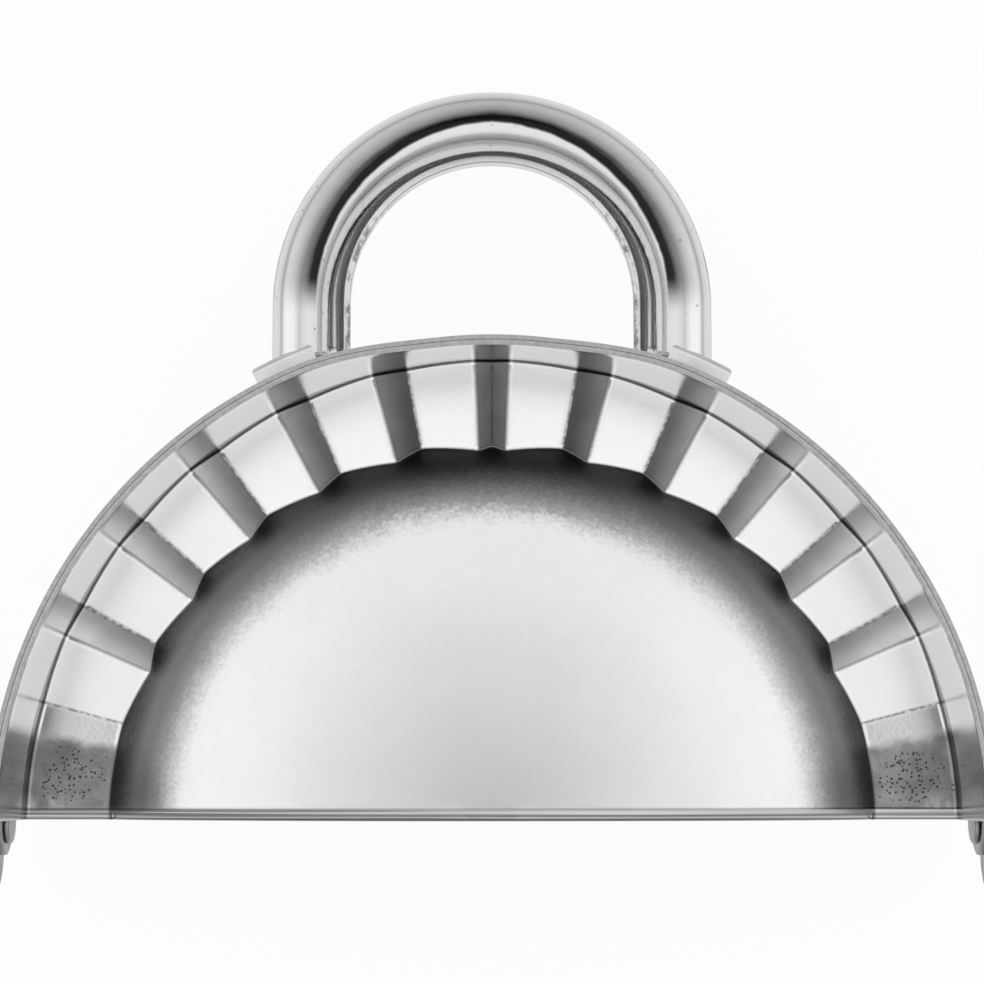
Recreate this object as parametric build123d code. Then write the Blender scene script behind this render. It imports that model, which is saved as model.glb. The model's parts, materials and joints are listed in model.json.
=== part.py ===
from build123d import *
import os
from math import acos, atan2, cos, degrees, hypot, radians, sin

# Ravioli press: two hinged half-round moulds of pressed stainless sheet, closed, lying on the rear half's rim.
# Millimetres. X runs along the hinge, +Y from the hinge toward the handles, +Z from the rear to the front half.
# The origin is on the table below the middle of the closed press. Each half is drawn with its hinge axis on X
# and its mating plane at Z 0, and is then put in place.

# Half mould, measured from the mating plane
rim_radius = 47.5
rim_height = 13.8
skirt_draft = 0.4
set_in = 0.9
set_in_angle_from = 66.0
set_in_angle_to = 84.0
overrun_angle = 12.0
plate_sheet = 0.5
band_sheet = 0.45
weld_gap = 0.05
mating_gap = 0.8
band_clearance = 0.55
seam = 0.3

# Pressed bowl
dome_radius = 37.4
dome_rise = 11.4
shoulder_radius = 20.0
dome_base_slope = 50.0

# Pleated sealing ring
pleats_per_half = 14
pleat_height = 1.2
strip_share = 0.32

# Handle
handle_reach = 73.3
handle_radius = 22.0
handle_width = 5.6
handle_depth = 4.5
handle_sheet = 0.7
handle_clearance = 0.5
rear_handle_nesting = 2.0
rear_handle_setback = 0.8

# Foot pads that carry the handle's legs
pad_span = 7.4
pad_thickness = 1.9
pad_height = 5.2
pad_bottom = 0.9
pad_round = 0.6

# Hinge
ear_sheet = 0.65
ear_bore_clearance = 0.05
ear_gap = 0.35
front_ear_radius = 3.2
rear_tongue_radius = 4.1
rear_tongue_drop = 2.8
tab_angle_near = 7.5
tab_angle_far = 13.0
tab_height = 5.0
tab_bottom = 1.0
joggle_start = 4.2
rivet_radius = 1.2
rivet_head_radius = 2.1
rivet_head_height = 0.45
rivet_fit = 0.02
rivet_side_play = 0.1
head_to_skirt = 0.35

# Derived places
skirt_sheet = plate_sheet + weld_gap + band_sheet
pitch = 180.0 / pleats_per_half
strip_half = pitch * strip_share / 2
ring_level = mating_gap / 2 + plate_sheet
wave_low = -pleat_height / 2
wave_high = pleat_height / 2
deepest = -rim_height
pad_outer = rim_radius + pad_thickness
inner_head_x = rim_radius - skirt_draft + head_to_skirt
front_ear_x = inner_head_x + rivet_head_height + rivet_side_play
rear_ear_x = front_ear_x + ear_sheet + ear_gap
outer_head_x = rear_ear_x + ear_sheet + rivet_side_play / 2
tongue_end = rear_tongue_drop + rear_tongue_radius
hinge_y = (tongue_end - handle_reach) / 2


def polar(radius, angle, height=0.0):
    return (radius * cos(radians(angle)), radius * sin(radians(angle)), height)


def set_in_at(angle):
    """How far the rim is drawn in between the handle's feet, as a share of set_in."""
    from_side = angle if angle <= 90 else 180 - angle
    share = (from_side - set_in_angle_from) / (set_in_angle_to - set_in_angle_from)
    share = min(1.0, max(0.0, share))
    return share * share * (3 - 2 * share)


def skirt_section(radius, depth, height):
    """Half-round face at one height, made of arcs, with the rim's set-in scaled to depth."""
    turn = (set_in_angle_to - set_in_angle_from) / 2
    stops = [-overrun_angle, set_in_angle_from, set_in_angle_from + turn, set_in_angle_to]
    stops += [180 - a for a in reversed(stops)]

    def place(angle):
        return polar(radius - depth * set_in_at(angle), angle, height)

    arcs = [ThreePointArc(place(a), place((a + b) / 2), place(b)) for a, b in zip(stops, stops[1:])]
    return make_face(Wire(arcs + [Line(place(stops[-1]), place(stops[0]))]))


def skirt_body(inset, bottom):
    """Everything inside the skirt surface that lies inset from the band's outer face, from bottom to the rim."""
    low_share = (rim_height - bottom) / rim_height
    radius = rim_radius - inset
    top = skirt_section(radius, set_in, rim_height)
    low = skirt_section(radius - skirt_draft * low_share, set_in * (1 - low_share), bottom)
    return loft([low, top], ruled=True)


def pleat_wave(direction):
    """Breakpoints of the sawtooth round the ring, as (angle, height), mirrored about the middle of the half."""
    points = [(-overrun_angle, wave_low), (pitch + strip_half, wave_low)]
    for k in range(1, pleats_per_half // 2):
        points.append(((k + 1) * pitch - strip_half, wave_high))
        if k + 1 < pleats_per_half // 2:
            points.append(((k + 1) * pitch + strip_half, wave_low))
    mirrored = [(180 - a, h) for a, h in reversed(points)]
    points = points + [(90.0, 0.0)] + mirrored
    return [(a, h * direction) for a, h in points]


def radial_face(angle, top):
    """Upright rectangle along one radius, from below the sheet to the ring surface."""
    near, far = 0.6 * dome_radius, 1.2 * rim_radius
    corners = [polar(near, angle, deepest), polar(far, angle, deepest)]
    corners += [polar(far, angle, top), polar(near, angle, top)]
    return make_face(Polyline(*corners, close=True))


def ring_body(direction, drop):
    """Solid under the pleated ring surface, lowered by drop."""
    wave = pleat_wave(direction)
    faces = [radial_face(a, ring_level - drop + h) for a, h in wave]
    wedges = [loft([f, g], ruled=True) for f, g in zip(faces, faces[1:])]
    return wedges[0].fuse(*wedges[1:])


def dome_body(drop):
    """Solid under the bowl: a crown arc on the axis and a tangent shoulder arc, both lowered by drop."""
    slope = radians(dome_base_slope)
    cx = dome_radius - shoulder_radius * sin(slope)
    cz = ring_level - shoulder_radius * cos(slope)
    rise = ring_level + dome_rise - cz
    crown = (cx**2 + rise**2 - shoulder_radius**2) / (2 * (rise - shoulder_radius))
    kz = ring_level + dome_rise - crown
    reach = hypot(cx, cz - kz)
    ux, uz = cx / reach, (cz - kz) / reach
    crown_r, shoulder_r = crown - drop, shoulder_radius - drop
    half = atan2(ux, uz) / 2
    top = (0, kz + crown_r)
    crown_mid = (crown_r * sin(half), kz + crown_r * cos(half))
    join = (crown_r * ux, kz + crown_r * uz)
    mid = (atan2(ux, uz) + radians(90)) / 2
    shoulder_mid = (cx + shoulder_r * sin(mid), cz + shoulder_r * cos(mid))
    base = (cx + shoulder_r, cz)
    outline = [ThreePointArc(top, crown_mid, join), ThreePointArc(join, shoulder_mid, base)]
    outline += [Polyline(base, (base[0], deepest), (0, deepest), top)]
    return revolve(Plane.XZ * make_face(outline), Axis.Z, 360)


def ahead_of_seam(solid):
    """Keeps what lies on the handle's side of the hinge line, seam away from it."""
    reach = 4 * rim_radius
    keep = Pos(0, seam + reach / 2, 0) * Box(2 * reach, reach, 2 * reach)
    return solid & keep


def mould_plate(direction):
    outside = skirt_body(band_sheet + weld_gap, deepest / 4)
    inside = skirt_body(skirt_sheet, deepest / 4)
    below_sheet = ring_body(direction, plate_sheet) + dome_body(plate_sheet)
    above_sheet = inside - ring_body(direction, 0) - dome_body(0)
    return ahead_of_seam(outside - below_sheet - above_sheet)


def cutter_band():
    return ahead_of_seam(skirt_body(0, band_clearance) - skirt_body(band_sheet, band_clearance))


def channel_profile():
    """U section of the handle, open side down on the X axis, centred on Y."""
    half, straight = handle_width / 2, handle_depth - handle_width / 2
    bore = half - handle_sheet
    outline = [Line((bore, 0), (half, 0)), Line((half, 0), (half, straight))]
    outline += [ThreePointArc((half, straight), (0, handle_depth), (-half, straight))]
    outline += [Polyline((-half, straight), (-half, 0), (-bore, 0), (-bore, straight))]
    outline += [ThreePointArc((-bore, straight), (0, straight + bore), (bore, straight))]
    outline += [Line((bore, straight), (bore, 0))]
    return make_face(outline)


def leg_x(nesting):
    """Distance of a leg's middle from the half's middle; the rear handle is nesting narrower on each side."""
    return handle_radius - nesting - handle_width / 2


def handle(nesting, setback):
    """Half-round arch and its two legs, which end on the foot pads."""
    centre = handle_reach - setback - handle_radius + nesting
    section = Pos(leg_x(nesting), centre, handle_clearance) * (Plane.XZ * channel_profile())
    arch = revolve(section, Axis((0, centre, 0), (0, 0, 1)), 180)
    leg = extrude(section, centre - leg_x(nesting))
    pad_surface = Cylinder(pad_outer + weld_gap, 4 * handle_depth)
    return arch + leg + mirror(leg, Plane.YZ) - pad_surface


def foot_pad(nesting):
    """Pad on the skirt's right side that one leg stands on."""
    pad_angle = degrees(acos(leg_x(nesting) / pad_outer))
    section = Pos(0, 0, pad_bottom) * Plane.XZ * Pos(rim_radius - 2, 0) * Rectangle(
        pad_thickness + 2, pad_height, align=(Align.MIN, Align.MIN)
    )
    block = Rot(0, 0, pad_angle - pad_span / 2) * revolve(section, Axis.Z, pad_span)
    outer = block.faces().filter_by(GeomType.CYLINDER).sort_by(lambda f: f.radius)[-1]
    return fillet(outer.edges(), pad_round) - skirt_body(-weld_gap, 0)


def ear_strip(plate_x, end):
    """The ear's bent strip seen from above: a tab on the skirt, a joggle and a plate across the hinge axis."""
    tab_radius = rim_radius - skirt_draft / 2
    inner = [polar(tab_radius, a)[:2] for a in (tab_angle_far, tab_angle_near)]
    inner += [(plate_x, joggle_start), (plate_x, -end)]
    outer = [(x + ear_sheet, y) for x, y in reversed(inner)]
    return extrude(make_face(Polyline(*inner, *outer, close=True)), rim_height, both=True)


def side_plate(sketch):
    """A shape drawn in Y and Z, made into a slab right across the hinge's end."""
    return extrude(Plane.YZ * sketch, 2 * rim_radius)


def tab_outline():
    far = rim_radius * sin(radians(tab_angle_far)) + ear_sheet
    return Pos(0, tab_bottom) * Rectangle(far, tab_height, align=(Align.MIN, Align.MIN))


def axis_bore(radius):
    return Rot(0, 90, 0) * Cylinder(radius, 4 * rim_radius)


def front_ear():
    outline = tab_outline() + Circle(front_ear_radius)
    ear = ear_strip(front_ear_x, front_ear_radius) & side_plate(outline)
    return ear - skirt_body(-weld_gap, 0) - axis_bore(rivet_radius + ear_bore_clearance)


def rear_ear():
    """Ear of the rear half, drawn like the front half's and mirrored with it: its tongue runs on past the hinge."""
    tongue = Circle(front_ear_radius) + Pos(-rear_tongue_drop, 0) * Circle(rear_tongue_radius)
    outline = tab_outline() + make_hull(tongue.edges())
    ear = ear_strip(rear_ear_x, tongue_end) & side_plate(outline)
    return ear - skirt_body(-weld_gap, 0) - axis_bore(rivet_radius + rivet_fit)


def rivet():
    """Rivet on the hinge axis: inner head, shank and outer head."""
    length = outer_head_x - inner_head_x
    shank = Cylinder(rivet_radius, length, align=(Align.CENTER, Align.CENTER, Align.MIN))
    head = Cylinder(rivet_head_radius, rivet_head_height, align=(Align.CENTER, Align.CENTER, Align.MIN))
    low = fillet(head.edges().group_by(Axis.Z)[0], rivet_head_height * 0.6)
    high = fillet(head.edges().group_by(Axis.Z)[-1], rivet_head_height * 0.6)
    return Pos(inner_head_x, 0, 0) * Rot(0, 90, 0) * (shank + low + Pos(0, 0, length) * high)


def front_place(solid):
    return Pos(0, hinge_y, rim_height) * solid


def rear_place(solid):
    return Pos(0, hinge_y, rim_height) * mirror(solid, Plane.XY)


def other_side(solid):
    return mirror(solid, Plane.YZ)


def save(name, solid):
    export_step(solid, f"parts/{name}.step")


def save_half(side, place, direction, ear, nesting, setback):
    """Writes one half: its plate, band, handle, two foot pads and two ears."""
    save(f"{side}_mould_plate", place(mould_plate(direction)))
    save(f"{side}_cutter_band", place(cutter_band()))
    save(f"{side}_handle", place(handle(nesting, setback)))
    pad = foot_pad(nesting)
    save(f"{side}_right_foot_pad", place(pad))
    save(f"{side}_left_foot_pad", place(other_side(pad)))
    save(f"{side}_right_ear", place(ear))
    save(f"{side}_left_ear", place(other_side(ear)))


os.makedirs("parts", exist_ok=True)
save_half("front", front_place, 1, front_ear(), 0, 0)
save_half("rear", rear_place, -1, rear_ear(), rear_handle_nesting, rear_handle_setback)
save("right_hinge_rivet", front_place(rivet()))
save("left_hinge_rivet", front_place(other_side(rivet())))
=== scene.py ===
import json
from math import atan2, cos, degrees, hypot, pi, radians, sin, sqrt

import bmesh
import bpy
from mathutils import Matrix, Vector


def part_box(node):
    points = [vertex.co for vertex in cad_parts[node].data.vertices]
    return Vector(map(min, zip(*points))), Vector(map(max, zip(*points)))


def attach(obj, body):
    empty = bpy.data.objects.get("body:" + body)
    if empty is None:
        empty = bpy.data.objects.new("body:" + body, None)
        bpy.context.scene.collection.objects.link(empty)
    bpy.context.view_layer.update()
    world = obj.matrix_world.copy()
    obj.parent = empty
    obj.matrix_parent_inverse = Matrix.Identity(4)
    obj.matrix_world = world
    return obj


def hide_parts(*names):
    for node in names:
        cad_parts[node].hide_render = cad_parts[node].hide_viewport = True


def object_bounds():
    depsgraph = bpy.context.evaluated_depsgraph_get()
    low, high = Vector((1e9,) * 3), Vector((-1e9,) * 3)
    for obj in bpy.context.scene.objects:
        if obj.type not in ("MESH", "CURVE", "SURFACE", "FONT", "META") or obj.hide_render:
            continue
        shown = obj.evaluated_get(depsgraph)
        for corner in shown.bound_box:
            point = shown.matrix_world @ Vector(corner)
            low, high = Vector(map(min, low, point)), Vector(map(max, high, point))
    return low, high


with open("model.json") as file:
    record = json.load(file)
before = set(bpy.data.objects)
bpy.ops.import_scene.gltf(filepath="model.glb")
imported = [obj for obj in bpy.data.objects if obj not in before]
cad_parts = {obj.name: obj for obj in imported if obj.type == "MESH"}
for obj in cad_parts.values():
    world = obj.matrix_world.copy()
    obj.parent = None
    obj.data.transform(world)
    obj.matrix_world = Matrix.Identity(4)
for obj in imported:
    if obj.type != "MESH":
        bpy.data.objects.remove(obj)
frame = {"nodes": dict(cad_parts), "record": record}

# Ravioli press in stainless steel: two pleated half moulds that close on each other, seen from above.
# Metres. X runs along the hinge, +Y toward the handles, +Z up.

cad_low, cad_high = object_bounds()
MM = 0.001

# Places read from the frame
hinge = next(j for j in frame["record"]["behaviour"]["joints"] if j["name"] == "mould_hinge")
HINGE_Y, MATING_Z = hinge["pos_m"][1], hinge["pos_m"][2]
band_low, band_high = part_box("front_cutter_band")
arch_low, arch_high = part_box("front_handle")
RIM_R = (band_high.x - band_low.x) / 2
RIM_H = band_high.z - MATING_Z
BAND_BOTTOM = band_low.z - MATING_Z

# Sheet and skirt
BAND_T = 0.45 * MM
WELD_GAP = 0.05 * MM
PLATE_T = 0.5 * MM
DRAFT = 0.4 * MM
SEAM = 0.3 * MM
SET_IN = 0.9 * MM
SET_IN_FROM, SET_IN_TO = 66.0, 84.0

# Bowl and pleated ring
RING_Z = 0.9 * MM
DOME_R = 37.4 * MM
DOME_RISE = 11.4 * MM
SHOULDER_R = 20.0 * MM
BASE_SLOPE = 50.0
PLEATS = 14
PITCH = 180.0 / PLEATS
STRIP_HALF = PITCH * 0.16
PLEAT_RISE = 1.2 * MM
FOLD_SOFTNESS = 0.45
CREASE_R = 0.45 * MM
BOWL_FOOT_WIDTH = 0.45 * MM
LIP_REACH, BOWL_LIP, RING_LIP = 1.2 * MM, 0.7 * MM, 0.15 * MM

# Rows of the plate's mesh, as shares of the bowl's radius, and the turn that a half is spun through
CROWN_SHARE, CROWN_ROWS = 0.955, 22
FOOT_SHARE, FOOT_STEP, FOOT_ROWS = 0.957, 0.0042, 19
LAST_BOWL_R = DOME_R * (FOOT_SHARE + FOOT_STEP * (FOOT_ROWS - 1))
SPIN_START, SPIN_TURN = -1.1, 182.2

# Rounding of the edges
PLATE_EDGE, BAND_EDGE, HANDLE_EDGE = 0.1 * MM, 0.13 * MM, 0.12 * MM
PAD_EDGE, EAR_EDGE, RIVET_EDGE = 0.35 * MM, 0.08 * MM, 0.05 * MM

# Handle channel
CHANNEL_W = 5.6 * MM
CHANNEL_T = 0.7 * MM
CHANNEL_BOTTOM = arch_low.z - MATING_Z
CHANNEL_H = arch_high.z - arch_low.z

# Foot pads: the face that a leg ends on, and how far a pad stands out beyond its solid
PAD_FACE_R = RIM_R + 1.95 * MM
PAD_TURN = 0.6
PAD_SWELL = 1.15 * MM

# Marks and painted shade on the pressed plate: degrees from the hinge line, and places along a radius
LAND_FADE = (10.2, 12.0)
END_WALL_FADE = (5.0, 13.0)
TOWARD_TOP = (22.0, 86.0)
RING_EDGE_R = DOME_R - 1.35 * MM
WALL_R = 45.45 * MM
SKIRT_FOOT = (2.3 * MM, 2.9 * MM)
CREASE_LINE_R = RIM_R - 1.35 * MM
PITS_R, PITS_ANGLE = 41.8 * MM, 6.2
LIP_FADE = (LIP_REACH, 1.7 * MM)

# Marks, painted reflection and painted shade on the handles and the ears: the middle of the channel's curve
# above the mating plane, and places
CURVE_Z = 2.2 * MM
REFLECTION_FADE = (50.0 * MM, 54.0 * MM)
DARK_PATCH_FADE = (58.0 * MM, 66.0 * MM)
EAR_OUTER_X = 49.3 * MM

ARCHES = {}
for side in ("front", "rear"):
    low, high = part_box(f"{side}_handle")
    arch_r = (high.x - low.x - CHANNEL_W) / 2
    ARCHES[side] = (arch_r, high.y - HINGE_Y - CHANNEL_W / 2 - arch_r)

# Camera, as fitted to the photograph
CAMERA_Y = HINGE_Y + 4.2 * MM
CAMERA_Z = 273.2 * MM
CAMERA_TILT = 6.32
LENS = 95.1


# Meshes

def spun(profile, start, turn, steps, closed):
    """Spins a profile of points (radius, height) round Z and returns the bmesh."""
    bm = bmesh.new()
    spin_from = Matrix.Rotation(radians(start), 4, "Z")
    verts = [bm.verts.new(spin_from @ Vector((r, 0, z))) for r, z in profile]
    pairs = list(zip(verts, verts[1:])) + ([(verts[-1], verts[0])] if closed else [])
    edges = [bm.edges.new(p) for p in pairs]
    sweep = verts + edges
    bmesh.ops.spin(
        bm, geom=sweep, cent=(0, 0, 0), axis=(0, 0, 1), angle=radians(turn), steps=steps, use_merge=False
    )
    return bm


def cut_at_seam(bm, fill=False):
    """Cuts away what lies behind the hinge line."""
    geom = bm.verts[:] + bm.edges[:] + bm.faces[:]
    cut = bmesh.ops.bisect_plane(bm, geom=geom, plane_co=(0, SEAM, 0), plane_no=(0, -1, 0), clear_outer=True)
    if fill:
        edges = [g for g in cut["geom_cut"] if isinstance(g, bmesh.types.BMEdge)]
        bmesh.ops.edgenet_fill(bm, edges=edges)


def put_in_place(bm, side):
    """Moves a half from the hinge axis to its place; the rear half is the front one turned over."""
    if side == "rear":
        bmesh.ops.scale(bm, vec=(1, 1, -1), verts=bm.verts)
        bmesh.ops.reverse_faces(bm, faces=bm.faces)
    bmesh.ops.translate(bm, vec=(0, HINGE_Y, MATING_Z), verts=bm.verts)


def make_object(bm, name, body, node, materials, sharp=35):
    mesh = bpy.data.meshes.new(name)
    bm.to_mesh(mesh)
    bm.free()
    mesh.shade_smooth()
    mesh.set_sharp_from_angle(angle=radians(sharp))
    piece = bpy.data.objects.new(name, mesh)
    bpy.context.scene.collection.objects.link(piece)
    for material in materials:
        mesh.materials.append(material)
    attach(piece, body)
    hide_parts(node)
    return piece


def rounded_edges(piece, width, segments=2, angle=50):
    bevel = piece.modifiers.new("edges", "BEVEL")
    bevel.width, bevel.segments, bevel.profile = width, segments, 0.5
    bevel.limit_method, bevel.angle_limit = "ANGLE", radians(angle)
    bevel.harden_normals = False


# Shape of the pressed sheet

def folded_angle(angle):
    """Angle measured from the nearer end of the hinge line."""
    return angle if angle <= 90 else 180 - angle


def smooth_step(value, low, high):
    share = min(1.0, max(0.0, (value - low) / (high - low)))
    return share * share * (3 - 2 * share)


def pleat_height(angle):
    """Height of the sawtooth pleats at an angle, from -1 at a fold's foot to 1 at its crest."""
    a = folded_angle(angle)
    if a < PITCH + STRIP_HALF:
        return -1.0
    nearest = round(a / PITCH) * PITCH
    if abs(a - nearest) <= STRIP_HALF:
        return (nearest - a) / STRIP_HALF
    after_strip = (a % PITCH - STRIP_HALF) / (PITCH - 2 * STRIP_HALF)
    return 2 * after_strip - 1


def soft_pleat(angle):
    """The sawtooth with its folds rounded, by averaging over a small angle."""
    offsets = [FOLD_SOFTNESS * k for k in (-1, -0.5, 0, 0.5, 1)]
    return sum(pleat_height(angle + o) for o in offsets) / len(offsets)


def dome_height(radius):
    """Height of the bowl's outside above the mating plane: crown arc inside, shoulder arc outside."""
    slope = radians(BASE_SLOPE)
    cx, cz = DOME_R - SHOULDER_R * sin(slope), RING_Z - SHOULDER_R * cos(slope)
    rise = RING_Z + DOME_RISE - cz
    crown = (cx**2 + rise**2 - SHOULDER_R**2) / (2 * (rise - SHOULDER_R))
    kz = RING_Z + DOME_RISE - crown
    join = crown * cx / hypot(cx, cz - kz)
    if radius < join:
        return kz + sqrt(crown**2 - radius**2)
    return cz + sqrt(max(0.0, SHOULDER_R**2 - (radius - cx) ** 2))


def soft_maximum(a, b, width):
    gap = max(width - abs(a - b), 0.0) / width
    return max(a, b) + gap * gap * width / 4


def wall_radius(angle, height, inset):
    """Radius of a skirt surface, inset from the band's outer face, at a height above the mating plane."""
    share = height / RIM_H
    a = folded_angle(angle)
    drawn_in = SET_IN * smooth_step(a, SET_IN_FROM, SET_IN_TO) * share
    return RIM_R - inset - DRAFT * (1 - share) - drawn_in


def plate_rows():
    """Rows of the plate from the bowl's middle to the rim, each (kind, value)."""
    rows = [("radius", r * MM) for r in (0.1, 0.35, 0.6, 0.9, 1.2, 1.5, 1.9, 2.3)]
    turns = [pi / 2 * (k + 0.06) / CROWN_ROWS for k in range(1, CROWN_ROWS)]
    rows += [("radius", DOME_R * CROWN_SHARE * sin(turn)) for turn in turns]
    rows += [("radius", DOME_R * (FOOT_SHARE + FOOT_STEP * k)) for k in range(FOOT_ROWS)]
    rows += [("ring", k / 6) for k in range(1, 7)]
    rows += [("crease", 90.0 * k / 5) for k in range(1, 6)]
    rows += [("wall", k / 8) for k in range(1, 9)]
    return rows


def lip_drop(y, r):
    """How far the straight edge is turned down into its rounded lip."""
    near = max(0.0, 1 - (y - SEAM) / LIP_REACH)
    return near * near * (BOWL_LIP if r < DOME_R else RING_LIP)


def plate_point(kind, value, angle, level):
    """Radius and height of one point of the plate's outer surface."""
    foot = wall_radius(angle, level, BAND_T + WELD_GAP + PLATE_T)
    if kind == "radius":
        return value, soft_maximum(dome_height(value), level, BOWL_FOOT_WIDTH)
    if kind == "ring":
        return LAST_BOWL_R + (foot - CREASE_R - LAST_BOWL_R) * value, level
    if kind == "crease":
        t = radians(value)
        return foot - CREASE_R + CREASE_R * sin(t), level + CREASE_R * (1 - cos(t))
    height = level + CREASE_R + (RIM_H - level - CREASE_R) * value
    return wall_radius(angle, height, BAND_T + WELD_GAP + PLATE_T), height


def mould_plate(side, materials):
    """Pressed plate of one half: bowl, pleated ring and the skirt's inner layer."""
    rows = plate_rows()
    steps = 512
    bm = spun([(0.2 * MM + k * MM, 0) for k in range(len(rows))], SPIN_START, SPIN_TURN, steps, False)
    direction = 1 if side == "front" else -1
    columns = {}
    bowl_height = bm.verts.layers.float.new("bowl_height")
    for v in bm.verts:
        row = round((hypot(v.co.x, v.co.y) - 0.2 * MM) / MM)
        angle = degrees(atan2(v.co.y, v.co.x))
        angle = angle + 360 if angle < -90 else angle
        key = round((angle - SPIN_START) / SPIN_TURN * steps)
        if key not in columns:
            columns[key] = RING_Z + direction * PLEAT_RISE / 2 * soft_pleat(angle)
        r, z = plate_point(*rows[row], angle, columns[key])
        y = r * sin(radians(angle))
        v.co = (r * cos(radians(angle)), y, z - lip_drop(y, r))
        in_bowl = rows[row][0] == "radius"
        v[bowl_height] = (dome_height(r) - columns[key]) / MM if in_bowl else -9.0
    cut_at_seam(bm)
    bmesh.ops.recalc_face_normals(bm, faces=bm.faces)
    middle = min(bm.faces, key=lambda f: hypot(f.calc_center_median().x, f.calc_center_median().y))
    if middle.normal.z < 0:
        bmesh.ops.reverse_faces(bm, faces=bm.faces)
    put_in_place(bm, side)
    node = f"{side}_mould_plate"
    piece = make_object(bm, f"{side}_pressed_plate", f"{side}_half", node, materials, 60)
    sheet = piece.modifiers.new("sheet", "SOLIDIFY")
    sheet.thickness, sheet.offset = PLATE_T, -1
    sheet.use_even_offset = True
    sheet.material_offset_rim = 1
    rounded_edges(piece, PLATE_EDGE, 2, 60)
    return piece


def cutter_band(side, materials):
    """Outer layer of the skirt, whose free edge cuts the dough."""
    heights = [BAND_BOTTOM + (RIM_H - BAND_BOTTOM) * k / 6 for k in range(7)]
    profile = [(2 * MM, z) for z in heights] + [(1 * MM, z) for z in reversed(heights)]
    bm = spun(profile, SPIN_START, SPIN_TURN, 360, True)
    for v in bm.verts:
        inset = 0.0 if hypot(v.co.x, v.co.y) > 1.5 * MM else BAND_T
        angle = degrees(atan2(v.co.y, v.co.x))
        angle = angle + 360 if angle < -90 else angle
        r = wall_radius(angle, v.co.z, inset)
        v.co = (r * cos(radians(angle)), r * sin(radians(angle)), v.co.z)
    cut_at_seam(bm, fill=True)
    bmesh.ops.recalc_face_normals(bm, faces=bm.faces)
    for f in bm.faces:
        f.material_index = 1 if f.calc_center_median().z > RIM_H - 0.01 * MM else 0
    put_in_place(bm, side)
    piece = make_object(
        bm, f"{side}_outer_band", f"{side}_half", f"{side}_cutter_band", materials, 40
    )
    rounded_edges(piece, BAND_EDGE, 3, 60)
    return piece


def arc_points(cx, cz, radius, start, end, steps):
    return [
        (cx + radius * cos(radians(start + (end - start) * k / steps)),
         cz + radius * sin(radians(start + (end - start) * k / steps)))
        for k in range(steps + 1)
    ]


def handle(side, materials):
    """Arch handle: a half-round channel on two legs that end on the foot pads."""
    half, straight = CHANNEL_W / 2, CHANNEL_H - CHANNEL_W / 2
    bore = half - CHANNEL_T
    arch_r, arch_y = ARCHES[side]
    outline = [(half, 0)] + arc_points(0, straight, half, 0, 180, 28) + [(-half, 0)]
    outline += [(-bore, 0)] + arc_points(0, straight, bore, 180, 0, 14) + [(bore, 0)]
    bm = bmesh.new()
    ring = [bm.verts.new((arch_r + x, 0, CHANNEL_BOTTOM + z)) for x, z in outline]
    edges = [bm.edges.new((a, b)) for a, b in zip(ring, ring[1:] + ring[:1])]
    bmesh.ops.spin(
        bm, geom=ring + edges, cent=(0, 0, 0), axis=(0, 0, 1), angle=pi, steps=96, use_merge=False
    )
    ends = [e for e in bm.edges if e.is_boundary]
    legs = bmesh.ops.extrude_edge_only(bm, edges=ends)
    feet = [g for g in legs["geom"] if isinstance(g, bmesh.types.BMVert)]
    for v in feet:
        v.co.y = sqrt(PAD_FACE_R**2 - v.co.x**2) - arch_y
    bmesh.ops.edgenet_fill(bm, edges=[e for e in bm.edges if e.is_boundary])
    bmesh.ops.recalc_face_normals(bm, faces=bm.faces)
    bmesh.ops.translate(bm, vec=(0, arch_y, 0), verts=bm.verts)
    put_in_place(bm, side)
    piece = make_object(
        bm, f"{side}_arch_handle", f"{side}_half", f"{side}_handle", materials, 50
    )
    rounded_edges(piece, HANDLE_EDGE, 2, 60)
    return piece


def softened_copy(node, name, body, materials, width, segments=3, turn=0.0, swell=0.0):
    """A copy of a small CAD node with rounded edges, turned round the half's axis and swollen outward."""
    bm = bmesh.new()
    bm.from_mesh(frame["nodes"][node].data)
    bmesh.ops.remove_doubles(bm, verts=bm.verts, dist=0.001 * MM)
    about = Matrix.Rotation(radians(turn), 3, "Z")
    bmesh.ops.rotate(bm, cent=(0, HINGE_Y, 0), matrix=about, verts=bm.verts)
    for v in bm.verts:
        r = hypot(v.co.x, v.co.y - HINGE_Y)
        grown = 1 + swell * smooth_step(r, RIM_R + 0.3 * MM, RIM_R + 1.3 * MM) / r
        v.co.x, v.co.y = v.co.x * grown, HINGE_Y + (v.co.y - HINGE_Y) * grown
    bmesh.ops.dissolve_limit(bm, angle_limit=radians(2), verts=bm.verts, edges=bm.edges)
    sharp = [e for e in bm.edges if e.is_manifold and e.calc_face_angle() > radians(40)]
    bmesh.ops.bevel(
        bm, geom=sharp, offset=width, segments=segments, affect="EDGES", profile=0.5, material=-1,
        clamp_overlap=True
    )
    return make_object(bm, name, body, node, materials, 40)


# Materials

# Painted shade and highlight of the bowl by its height above the ring, as a share of SHADE_RISE in
# millimetres:
# beside the hinge, and opposite it. Near its crown both are the same.
SHADE_RISE = 12.0
CROWN_SHADES = [(0.63, 0.93), (0.79, 0.82), (0.95, 0.74)]
SIDE_BOWL_SHADES = [
    (0.0, 0.14), (0.06, 0.22), (0.13, 0.4), (0.19, 0.47),
    (0.26, 0.38), (0.33, 0.47), (0.4, 0.74), (0.46, 0.99),
] + CROWN_SHADES
TOP_BOWL_SHADES = [
    (0.0, 0.06), (0.15, 0.07), (0.2, 0.09), (0.28, 0.18),
    (0.35, 0.3), (0.41, 0.46), (0.455, 0.8), (0.49, 0.98),
] + CROWN_SHADES
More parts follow.
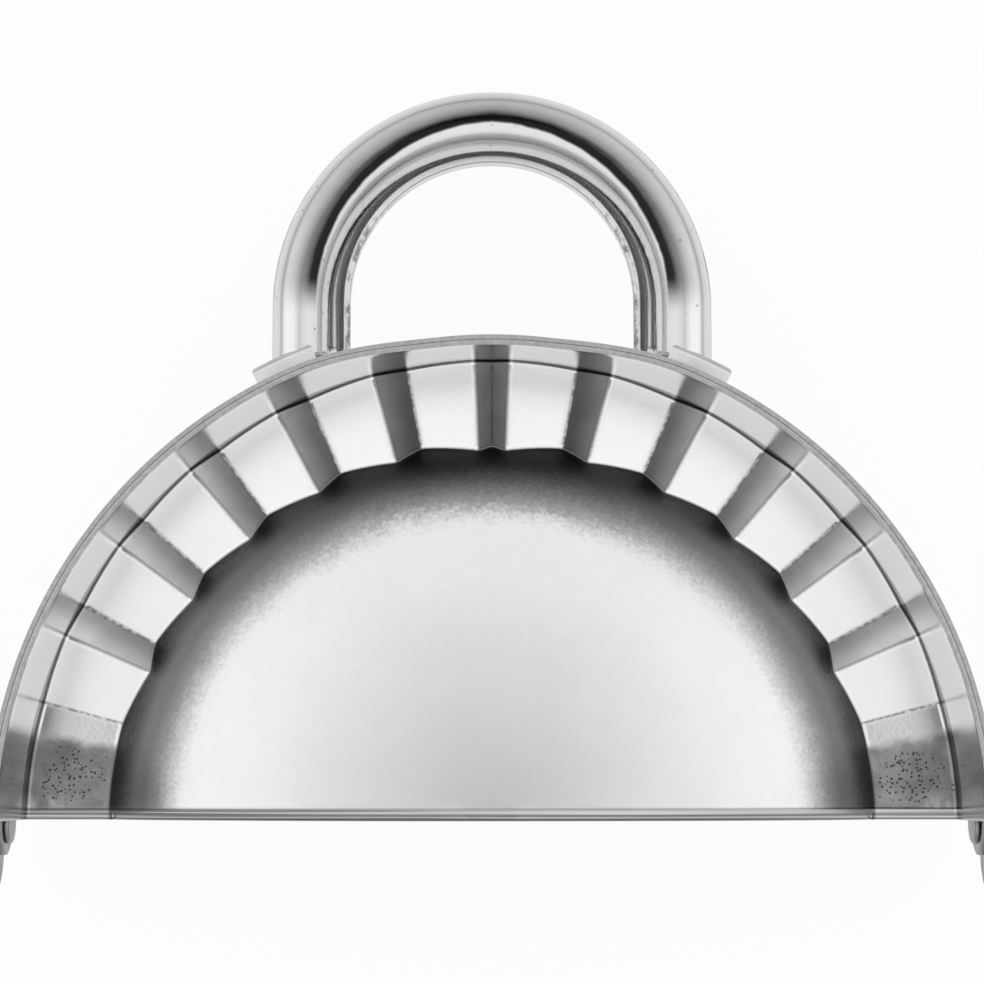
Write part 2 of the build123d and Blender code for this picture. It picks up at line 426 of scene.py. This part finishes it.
# Painted reflection across the handle: its brightness from the inner to the outer side
HANDLE_REFLECTION_SHADES = [
    (0.0, 0.62), (0.1, 0.85), (0.43, 0.88), (0.47, 0.12), (0.49, 0.015), (0.585, 0.02), (0.62, 0.14),
    (0.66, 0.29), (0.73, 0.46), (0.81, 0.64), (0.89, 0.84), (0.955, 1.0), (0.972, 0.95), (0.985, 0.3),
]


class Value:
    """A socket that takes part in arithmetic: each operator adds the Math node that it stands for."""

    def __init__(self, maker, socket):
        self.maker, self.socket = maker, socket

    def __add__(self, other):
        return self.maker.maths("ADD", self, other)

    def __radd__(self, other):
        return self.maker.maths("ADD", other, self)

    def __sub__(self, other):
        return self.maker.maths("SUBTRACT", self, other)

    def __rsub__(self, other):
        return self.maker.maths("SUBTRACT", other, self)

    def __mul__(self, other):
        return self.maker.maths("MULTIPLY", self, other)

    def __rmul__(self, other):
        return self.maker.maths("MULTIPLY", other, self)

    def __truediv__(self, other):
        return self.maker.maths("DIVIDE", self, other)


class Finish:
    """Builds one material's nodes."""

    def __init__(self, name):
        self.material = bpy.data.materials.new(name)
        self.material.use_nodes = True
        self.tree = self.material.node_tree
        self.shader = self.tree.nodes["Principled BSDF"]
        place = self.node("ShaderNodeTexCoord")
        self.place = place.outputs["Object"]
        xyz = self.node("ShaderNodeSeparateXYZ", Vector=self.place).outputs
        self.x, self.z = Value(self, xyz["X"]), Value(self, xyz["Z"])
        self.y = Value(self, xyz["Y"]) - HINGE_Y

    def node(self, kind, settings=None, **inputs):
        made = self.tree.nodes.new(kind)
        for key, value in (settings or {}).items():
            setattr(made, key, value)
        for key, value in inputs.items():
            self.feed(made.inputs[key.replace("_", " ")], value)
        return made

    def feed(self, socket, value):
        if isinstance(value, Value):
            value = value.socket
        if isinstance(value, bpy.types.NodeSocket):
            self.tree.links.new(value, socket)
        else:
            socket.default_value = value

    def maths(self, operation, *values):
        made = self.tree.nodes.new("ShaderNodeMath")
        made.operation = operation
        for socket, value in zip(made.inputs, values):
            self.feed(socket, value)
        return Value(self, made.outputs[0])

    def step(self, value, low, high):
        """Smooth step of a value from 0 at low to 1 at high."""
        made = self.node("ShaderNodeMapRange", {"interpolation_type": "SMOOTHSTEP"}, Value=value)
        made.inputs["From Min"].default_value = low
        made.inputs["From Max"].default_value = high
        return Value(self, made.outputs["Result"])

    def curve(self, value, points):
        """Brightness that runs through (place, shade) points as the value goes from 0 to 1."""
        made = self.node("ShaderNodeValToRGB", Fac=value)
        stops = made.color_ramp.elements
        stops.remove(stops[1])
        stops[0].position, stops[0].color = points[0][0], (points[0][1],) * 3 + (1,)
        for place, shade in points[1:]:
            stops.new(place).color = (shade, shade, shade, 1)
        return Value(self, made.outputs["Color"])

    def blend(self, start, end, share):
        """Goes from start to end as the share goes from 0 to 1."""
        made = self.node("ShaderNodeMix", {"data_type": "FLOAT"})
        self.feed(made.inputs[0], share)
        self.feed(made.inputs[2], start)
        self.feed(made.inputs[3], end)
        return Value(self, made.outputs[0])

    def line(self, distance, width):
        """1 on a line where distance is 0, falling to 0 at width."""
        return 1 - self.step(self.maths("ABSOLUTE", distance), 0.0, width)

    def noise(self, scale, detail=3.0, stretch=(1, 1, 1), rough=0.5):
        mapped = self.node("ShaderNodeMapping", Vector=self.place)
        mapped.inputs["Scale"].default_value = stretch
        made = self.node("ShaderNodeTexNoise", Vector=mapped.outputs[0])
        made.inputs["Scale"].default_value = scale
        made.inputs["Detail"].default_value = detail
        made.inputs["Roughness"].default_value = rough
        return Value(self, made.outputs["Fac"])

    def specks(self, scale, size):
        made = self.node("ShaderNodeTexVoronoi", Vector=self.place)
        made.inputs["Scale"].default_value = scale
        return 1 - self.step(Value(self, made.outputs["Distance"]), size * 0.6, size)

    def colour(self, dark, light, share):
        made = self.node("ShaderNodeMix", {"data_type": "RGBA"})
        self.feed(made.inputs[0], share)
        made.inputs[6].default_value = (*dark, 1)
        made.inputs[7].default_value = (*light, 1)
        return made.outputs[2]

    def bump(self, height, distance, strength=1.0):
        made = self.node("ShaderNodeBump", Height=height)
        made.inputs["Distance"].default_value = distance
        made.inputs["Strength"].default_value = strength
        return made.outputs[0]

    def steel(self, colour, roughness, normal=None):
        self.shader.inputs["Metallic"].default_value = 1.0
        self.feed(self.shader.inputs["Base Color"], colour)
        self.feed(self.shader.inputs["Roughness"], roughness)
        if normal is not None:
            self.feed(self.shader.inputs["Normal"], normal)
        return self.material


class PlateFinish(Finish):
    """Pressed sheet, with the places and the marks that its steel has, and the shade and highlights painted
    on it.
    """

    def __init__(self, name):
        super().__init__(name)
        self.angle = self.maths("ARCTAN2", self.y, self.maths("ABSOLUTE", self.x)) * (180 / pi)
        self.radius = self.maths("SQRT", self.x * self.x + self.y * self.y)
        self.up = self.maths("ABSOLUTE", self.z - MATING_Z)
        self.cloud = self.noise(160, 3)
        self.patch = self.noise(330, 4, rough=0.6)
        self.grain = self.noise(2600, 2)
        height = self.node("ShaderNodeAttribute", {"attribute_name": "bowl_height"}).outputs["Fac"]
        self.on_bowl = self.step(Value(self, height), -0.22, 0.02)
        self.low = 1 - self.step(self.up, *SKIRT_FOOT)
        past_edge = self.step(self.radius, RING_EDGE_R - 0.15 * MM, RING_EDGE_R + 0.15 * MM)
        self.on_ring = self.low * (1 - self.on_bowl) * past_edge
        self.on_wall = (1 - self.low) * self.step(self.radius, WALL_R - 0.15 * MM, WALL_R + 0.15 * MM)
        self.wrapped = self.maths("WRAP", self.angle, PITCH / 2, -PITCH / 2)
        self.from_strip = self.maths("ABSOLUTE", self.wrapped)
        self.past_first = self.step(self.angle, 1.3 * PITCH, 1.5 * PITCH)
        self.toward_top = self.step(self.angle, *TOWARD_TOP)
        self.end = self.angle + 2.4 * (self.patch - 0.5)

    def bowl(self):
        """Painted shade and highlight of the bowl: dark where it rises from the ring, with a painted shadow
        darkest at the foot of each strip.
        """
        mottle = 0.8 * (self.grain - 0.5) + 0.8 * (self.noise(1300, 3, rough=0.7) - 0.5)
        climb = ((self.up - RING_Z) / MM + mottle + 0.9 * (self.cloud - 0.5)) / SHADE_RISE
        beside, opposite = self.curve(climb, SIDE_BOWL_SHADES), self.curve(climb, TOP_BOWL_SHADES)
        shade = self.blend(beside, opposite, self.toward_top) * (0.97 + 0.06 * self.patch)
        near_foot = 1 - self.step(self.up, 1.4 * MM, 3.6 * MM)
        # Painted shadow at the foot of each strip, low on the bowl
        return shade * (1 - 0.55 * self.line(self.from_strip, 4.5) * self.past_first * near_foot)

    def ring(self):
        """Painted shade of the ring and the skirt: bright flats, greyer toward the rim, with a painted dark
        strip at each pleat.
        """
        # Painted shade: the flats greyer toward the rim
        toward_rim = self.step(self.radius, 40.5 * MM, 45.0 * MM) * self.on_ring
        flats = (0.92 + 0.08 * self.cloud) * (1 - 0.13 * toward_rim)
        in_strip = 1 - self.step(self.from_strip, STRIP_HALF - 0.2, STRIP_HALF + 0.12)
        across = self.step(self.wrapped, -STRIP_HALF, STRIP_HALF * 0.8)
        inward = 1 - self.step(self.radius, 37.0 * MM, 45.5 * MM)
        # Painted shade on each strip: darker toward the top, toward the fold's foot and toward the bowl
        strip_shade = (0.6 - 0.46 * self.toward_top) * (1 - 0.5 * across)
        strip_shade = strip_shade * (0.75 + 0.5 * self.patch) * (1.2 - 0.45 * inward)
        return self.blend(flats, strip_shade, in_strip * self.past_first * self.on_ring)

    def folds(self):
        """Painted shade: dark lines along the crest and the broken foot of each pleat."""
        # Breaks in the painted dark line along each fold's foot
        foot_breaks = self.step(self.noise(1700, 2), 0.4, 0.58)
        crest = self.line(self.wrapped + STRIP_HALF, 0.28) * self.past_first * 0.75
        past_land = self.step(self.angle, PITCH, 1.05 * PITCH)
        foot = self.line(self.wrapped - STRIP_HALF, 0.34) * past_land * (0.35 + 0.6 * foot_breaks)
        return self.maths("MAXIMUM", crest, foot) * self.on_ring

    def glints(self):
        """Painted highlights: bright lines beside the crests."""
        return self.line(self.wrapped + STRIP_HALF + 0.42, 0.3) * self.past_first * self.on_ring

    def land(self):
        """Mask and shade of the worn lands beside the hinge."""
        streaks = self.noise(420, 3, (1, 0.35, 1), 0.65)
        corner = (1 - self.step(self.angle, 1.5, 4.5)) * self.step(self.radius, 41.5 * MM, 44.0 * MM)
        shade = 0.16 + 0.16 * self.step(self.patch, 0.28, 0.72) + 0.16 * streaks
        shade = shade + 0.3 * corner * self.step(streaks, 0.42, 0.58)
        return (1 - self.step(self.end, *LAND_FADE)) * self.on_ring, shade

    def pits(self, land):
        """Small pits, gathered in the middle of each land."""
        in_middle = self.line(self.radius - PITS_R, 4.6 * MM) * self.line(self.angle - PITS_ANGLE, 5.6)
        return self.specks(2500, 0.4) * self.step(self.noise(900, 2) + 0.5 * in_middle, 0.62, 0.74) * land

    def lip(self):
        """Mask and painted shade of the rounded lip along the straight edge: painted reflection lines along
        its length and two painted dark lines.
        """
        # Painted reflection: light and dark lines along the lip's curve
        lines = self.step(self.noise(3600, 2, (0.004, 1, 0)), 0.4, 0.6)
        # Painted shade: dark lines where the lip starts to turn down and near its edge
        shade = 0.26 + 0.5 * lines - 0.4 * self.line(self.y - 1.45 * MM, 0.2 * MM)
        shade = shade * (1 - 0.7 * self.line(self.y - 0.42 * MM, 0.2 * MM))
        return (1 - self.step(self.y, *LIP_FADE)) * (1 - self.on_wall), shade


def plate_steel():
    """Pressed stainless sheet: satin bowl with painted shade and highlights, bright pleats with painted dark
    strips, fold lines and glints, pitted lands beside the hinge, and a lip with painted reflections.
    """
    f = PlateFinish("pressed_plate_steel")
    land, land_shade = f.land()
    lip, lip_shade = f.lip()
    pits = f.pits(land)
    # Painted shade along the crease where the ring meets the skirt
    crease = f.line(f.radius - CREASE_LINE_R, 0.22 * MM) * f.low
    end_wall = (1 - f.step(f.end, *END_WALL_FADE)) * f.on_wall
    shade = f.blend(f.ring(), land_shade, land) * (1 - 0.8 * pits)
    shade = shade * (1 - 0.7 * f.folds()) * (1 - 0.6 * crease) * (1 - 0.5 * end_wall)
    shade = f.blend(f.maths("MINIMUM", shade + 0.25 * f.glints(), 1.0), f.bowl(), f.on_bowl)
    shade = f.blend(shade, lip_shade, lip)
    base = f.colour((0.006, 0.007, 0.005), (0.88, 0.88, 0.875), shade)
    rough = 0.13 + 0.19 * f.on_bowl + 0.2 * land + 0.05 * f.cloud + 0.05 * f.noise(700, 2, (1, 14, 1))
    height = 0.6 * f.grain + 0.5 * f.cloud - 1.2 * pits
    return f.steel(base, rough, f.bump(height, 0.02 * MM, 0.6))


def rim_steel():
    """Brushed outer band, a little darker than the plate."""
    f = Finish("cutter_band_steel")
    cloud = f.noise(90, 2)
    rings = f.noise(900, 3, (0.03, 0.03, 3.0))
    base = f.colour((0.56, 0.56, 0.555), (0.76, 0.76, 0.755), 0.5 * cloud + 0.5 * rings)
    return f.steel(base, 0.16 + 0.16 * rings + 0.04 * cloud, f.bump(rings, 0.015 * MM, 0.6))


def cut_edge_steel():
    """Sheared sheet edge, dull and grey with lengthwise marks."""
    f = Finish("cut_edge_steel")
    marks = f.noise(1800, 4, (1, 1, 0.3), 0.7)
    base = f.colour((0.26, 0.26, 0.257), (0.62, 0.62, 0.615), marks)
    return f.steel(base, 0.3 + 0.2 * marks, f.bump(marks, 0.02 * MM, 0.6))


def handle_steel(side):
    """Polished channel with a painted reflection: dark along the top of its curve, bright to the sides, with
    faint waves and hairline scratches.
    """
    f = Finish(f"{side}_handle_polished_steel")
    arch_r, arch_y = ARCHES[side]
    past = f.maths("MAXIMUM", f.y - arch_y, 0.0)
    across = (f.maths("SQRT", f.x * f.x + past * past) - arch_r) / (CHANNEL_W / 2)
    up = f.maths("ABSOLUTE", f.z - MATING_Z)
    waves = f.noise(95, 2)
    wobble = f.noise(420, 3)
    hairs = f.noise(1100, 2, (1, 1, 5), 0.6)
    speck = f.specks(900, 0.16) * f.step(f.noise(260, 2), 0.46, 0.62)
    # The dark core of the painted reflection fades out down the legs
    seat = f.step(f.y, *REFLECTION_FADE)
    moved = across + 0.1 * (wobble - 0.5) + 0.05 * (waves - 0.5)
    core = -0.13 - 0.34 * f.maths("MINIMUM", f.maths("ABSOLUTE", f.x) / arch_r, 1.0)
    outer = 0.55 + 0.45 * (moved - core) / (1 - core)
    inner = 0.55 + 0.62 * (moved - core)
    reflection = f.curve(f.blend(inner, outer, f.maths("GREATER_THAN", moved, core)), HANDLE_REFLECTION_SHADES)
    climb = f.maths("MAXIMUM", up - CURVE_Z, 0.0)
    off_axis = across * CHANNEL_W / 2
    skin = f.step(f.maths("SQRT", off_axis * off_axis + climb * climb), 2.3 * MM, 2.5 * MM)
    reflection = f.blend(1.0, reflection, f.step(up, CURVE_Z, CURVE_Z + 0.8 * MM) * (0.25 + 0.75 * seat) * skin)
    # Painted shadow: a dark line along the channel's lower edge, just above the mating plane
    skirt = f.line(up - 0.75 * MM, 0.3 * MM)
    # Darker in patches on the inner side near the mating plane, mostly on the legs
    inner_side = 1 - f.step(across, -0.93, -0.75)
    dark_patches = f.step(f.noise(800, 4, (1, 0.6, 0.5), 0.7), 0.45, 0.6) * (1 - f.step(f.y, *DARK_PATCH_FADE))
    inner_darkening = inner_side * (1 - f.step(up, 2.4 * MM, 3.4 * MM)) * (0.08 + 0.8 * dark_patches)
    shade = reflection * (1 - 0.7 * skirt) * (1 - 0.75 * inner_darkening) * (1 - 0.35 * speck)
    base = f.colour((0.004, 0.004, 0.003), (0.88, 0.88, 0.875), shade)
    rough = 0.12 + 0.07 * f.noise(240, 4) + 0.06 * hairs + 0.2 * speck
    return f.steel(base, rough, f.bump(0.8 * waves - 0.6 * speck + 0.15 * hairs, 0.03 * MM, 0.7))


def hinge_steel():
    """Stamped ears and rivets: duller, darker steel, darker in patches, with a painted shade line along the
    ears' outer edge.
    """
    f = Finish("hinge_stamped_steel")
    cloud = f.noise(420, 4, (1, 1, 1), 0.65)
    fine = f.noise(2400, 2)
    # Painted shade: a dark line along the ears' outer edge
    edge_shade = f.line(f.maths("ABSOLUTE", f.x) - EAR_OUTER_X, 0.45 * MM)
    base = f.colour((0.16, 0.16, 0.157), (0.42, 0.42, 0.415), f.step(cloud, 0.1, 0.9) * (1 - 0.5 * edge_shade))
    return f.steel(base, 0.2 + 0.2 * cloud, f.bump(0.6 * cloud + 0.4 * fine, 0.03 * MM, 0.6))


def pad_steel():
    """Foot pads: bright steel, lightly ground after welding, with a dark weld line along the band, partly
    painted shade in that corner, and a painted shade line along the outer edge.
    """
    f = Finish("foot_pad_steel")
    cloud = f.noise(380, 3)
    radius = f.maths("SQRT", f.x * f.x + f.y * f.y)
    # A dark weld line where a pad meets the band, partly painted shade in that corner, and a painted shade
    # line along the pad's outer edge
    weld = f.line(radius - (RIM_R + 0.2 * MM), 0.35 * MM)
    outer_edge_shade = 0.6 * f.line(radius - (RIM_R + 2.7 * MM), 0.2 * MM)
    weld_and_edge_shade = f.maths("MAXIMUM", weld, outer_edge_shade)
    base = f.colour((0.2, 0.2, 0.198), (0.84, 0.84, 0.835), (0.7 + 0.3 * cloud) * (1 - 0.8 * weld_and_edge_shade))
    return f.steel(base, 0.26 + 0.14 * cloud, f.bump(cloud, 0.05 * MM, 0.5))


# Studio

# Brightness of the surroundings by the sine of the angle above the horizon
SKY_LEVELS = [
    (0.0, 0.75), (0.06, 0.5), (0.16, 0.5), (0.34, 0.9), (0.6, 1.0), (0.9, 1.0), (0.98, 0.97), (0.991, 0.6),
    (0.997, 0.12),
]
SOFTBOX_PLACE, SOFTBOX_SIZE, SOFTBOX_POWER = (0.6, 0.1, 0.6), 0.7, 0.2


def floor():
    """White table that the press lies on."""
    bm = bmesh.new()
    bmesh.ops.create_grid(bm, x_segments=2, y_segments=2, size=4.0)
    bmesh.ops.translate(bm, vec=(0, 0, cad_low.z - 0.02 * MM), verts=bm.verts)
    mesh = bpy.data.meshes.new("floor")
    bm.to_mesh(mesh)
    bm.free()
    table_top = bpy.data.objects.new("floor", mesh)
    bpy.context.scene.collection.objects.link(table_top)
    f = Finish("white_table")
    f.shader.inputs["Base Color"].default_value = (0.9, 0.9, 0.9, 1)
    f.shader.inputs["Roughness"].default_value = 0.6
    rays = f.node("ShaderNodeLightPath").outputs
    light = f.node("ShaderNodeEmission", Strength=1.0 - 0.2 * Value(f, rays["Is Glossy Ray"]))
    seen = f.maths("MAXIMUM", Value(f, rays["Is Camera Ray"]), Value(f, rays["Is Glossy Ray"]))
    mix = f.node("ShaderNodeMixShader")
    f.feed(mix.inputs[0], seen * 0.93)
    f.feed(mix.inputs[1], f.shader.outputs[0])
    f.feed(mix.inputs[2], light.outputs[0])
    f.feed(f.tree.nodes["Material Output"].inputs["Surface"], mix.outputs[0])
    mesh.materials.append(f.material)


def studio_world():
    """Soft overhead light: bright ceiling with a dark opening above the camera and a grey horizon."""
    world = bpy.data.worlds.new("studio")
    world.use_nodes = True
    tree = world.node_tree
    place = tree.nodes.new("ShaderNodeTexCoord")
    split = tree.nodes.new("ShaderNodeSeparateXYZ")
    tree.links.new(place.outputs["Generated"], split.inputs[0])
    ramp = tree.nodes.new("ShaderNodeValToRGB")
    tree.links.new(split.outputs["Z"], ramp.inputs[0])
    ramp.color_ramp.elements.remove(ramp.color_ramp.elements[1])
    ramp.color_ramp.elements[0].position = SKY_LEVELS[0][0]
    ramp.color_ramp.elements[0].color = (SKY_LEVELS[0][1],) * 3 + (1,)
    for position, level in SKY_LEVELS[1:]:
        stop = ramp.color_ramp.elements.new(position)
        stop.color = (level, level, level, 1)
    background = tree.nodes["Background"]
    tree.links.new(ramp.outputs[0], background.inputs["Color"])
    background.inputs["Strength"].default_value = 1.0
    bpy.context.scene.world = world


def softbox(name, direction):
    """Square lamp above one side of the press, aimed at its middle."""
    data = bpy.data.lights.new(name, "AREA")
    data.size, data.energy = SOFTBOX_SIZE, SOFTBOX_POWER
    place = Vector((direction * SOFTBOX_PLACE[0], *SOFTBOX_PLACE[1:]))
    lamp = bpy.data.objects.new(name, data)
    lamp.location = place
    lamp.rotation_mode = "QUATERNION"
    lamp.rotation_quaternion = (-place).to_track_quat("-Z", "Y")
    bpy.context.scene.collection.objects.link(lamp)


def camera():
    data = bpy.data.cameras.new("camera")
    data.lens, data.sensor_width = LENS, 36
    eye = bpy.data.objects.new("camera", data)
    eye.location = (0, CAMERA_Y, CAMERA_Z)
    eye.rotation_euler = (radians(CAMERA_TILT), 0, 0)
    bpy.context.scene.collection.objects.link(eye)
    bpy.context.scene.camera = eye


# The press

plate, edge, rim = plate_steel(), cut_edge_steel(), rim_steel()
stamped, ground = hinge_steel(), pad_steel()
for side in ("front", "rear"):
    body = f"{side}_half"
    mould_plate(side, [plate, edge])
    cutter_band(side, [rim, edge])
    handle(side, [handle_steel(side)])
    for hand in ("right", "left"):
        softened_copy(
            f"{side}_{hand}_foot_pad", f"{side}_{hand}_leg_pad", body, [ground], PAD_EDGE,
            turn=PAD_TURN if hand == "left" else -PAD_TURN, swell=PAD_SWELL
        )
        softened_copy(
            f"{side}_{hand}_ear", f"{side}_{hand}_hinge_ear", body, [stamped], EAR_EDGE, 2
        )
for hand in ("right", "left"):
    softened_copy(
        f"{hand}_hinge_rivet", f"{hand}_rivet", "rear_half", [stamped], RIVET_EDGE, 2
    )

floor()
studio_world()
softbox("key_left", -1)
softbox("key_right", 1)
camera()

bpy.context.scene.view_settings.view_transform = "Standard"
